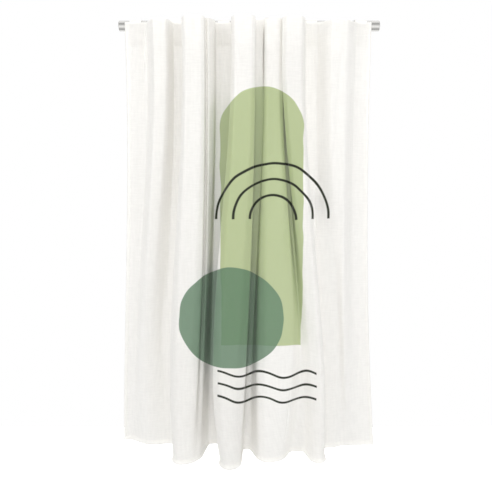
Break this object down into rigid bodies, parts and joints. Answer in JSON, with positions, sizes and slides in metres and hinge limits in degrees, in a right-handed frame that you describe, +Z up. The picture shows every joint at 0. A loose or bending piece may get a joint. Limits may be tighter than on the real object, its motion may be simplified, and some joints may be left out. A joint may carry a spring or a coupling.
{
  "type": "window curtain hung on a rod",
  "caption": "Printed window curtain hanging in deep uneven folds from back tabs on a plain round rod.",
  "frame": {"origin": "middle of the rod's axis, where the wall's brackets hold it", "axes": "+X along the rod towards the curtain's right edge as seen from the front, +Y towards the wall, +Z up"},
  "size_m": [0.852, 0.202, 1.3806],
  "materials": {
    "curtain_cloth": "matt dense woven cloth, off-white with a printed design",
    "tab_cloth": "matt woven cloth, off-white",
    "rod_metal": "satin steel"
  },
  "bodies": {
    "root": {"curtain": "curtain_cloth", "rod": "rod_metal", "back_tab_1": "tab_cloth", "back_tab_2": "tab_cloth", "back_tab_3": "tab_cloth", "back_tab_4": "tab_cloth", "back_tab_5": "tab_cloth", "back_tab_6": "tab_cloth"}
  },
  "joints": []
}
